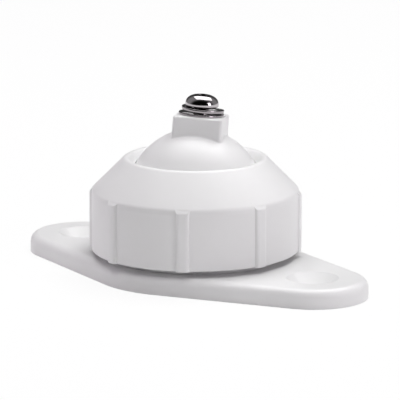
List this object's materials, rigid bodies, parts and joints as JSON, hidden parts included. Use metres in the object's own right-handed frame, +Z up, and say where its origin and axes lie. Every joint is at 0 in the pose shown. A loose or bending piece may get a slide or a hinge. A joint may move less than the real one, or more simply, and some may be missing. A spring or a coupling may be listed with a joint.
{
  "type": "swivel mounting bracket",
  "caption": "Low ball-and-socket swivel bracket: lozenge base with screw holes, ribbed lock collar, hollow ball with a square lug and a machine screw.",
  "frame": {"origin": "centre of the base plate's underside, on the lock collar's axis", "axes": "+X along the base plate's long axis, +Z up the lock collar's axis, away from the wall; the ball leans towards +Y"},
  "size_m": [0.098, 0.0494, 0.0429],
  "materials": {
    "white_plastic": "satin moulded ABS, cool white",
    "acetal": "natural acetal, slightly waxy",
    "plated_steel": "bright zinc or nickel plate",
    "brass": "turned and knurled"
  },
  "bodies": {
    "base": {"base_plate": "white_plastic"},
    "seat": {"friction_seat": "acetal"},
    "ball": {"swivel_ball": "white_plastic", "threaded_insert": "brass"},
    "ring": {"clamp_ring": "acetal"},
    "collar": {"lock_collar": "white_plastic"},
    "washers": {"flat_washer": "plated_steel", "lock_washer": "plated_steel"},
    "screw": {"machine_screw": "plated_steel"}
  },
  "joints": [
    {"name": "ring_lift", "type": "slide", "parent": "base", "child": "ring", "axis": [0, 0, 1], "range_m": [0, 0.0019]},
    {"name": "collar_turn", "type": "hinge", "parent": "ring", "child": "collar", "pos_m": [0, 0, 0.013], "axis": [0, 0, 1], "range_deg": [0, 270]},
    {"name": "ball_pan", "type": "hinge", "parent": "base", "child": "seat", "pos_m": [0, 0, 0.0185], "axis": [0, 0, 1], "continuous": true},
    {"name": "ball_tilt", "type": "hinge", "parent": "seat", "child": "ball", "pos_m": [0, 0, 0.0185], "axis": [0.9781, -0.2079, 0], "range_deg": [-17, 27]},
    {"name": "screw_turn", "type": "hinge", "parent": "ball", "child": "washers", "pos_m": [0.00036, 0.0017, 0.03792], "axis": [0.0185, 0.087, 0.996], "range_deg": [0, 3970]},
    {"name": "screw_lift", "type": "slide", "parent": "washers", "child": "screw", "axis": [0.0185, 0.087, 0.996], "range_m": [0, 0.0077]}
  ],
  "couplings": [
    {"joint": "ring_lift", "follows": "collar_turn", "m_per_rad": 0.00039789},
    {"joint": "screw_turn", "follows": "screw_lift", "rad_per_m": 8976}
  ]
}
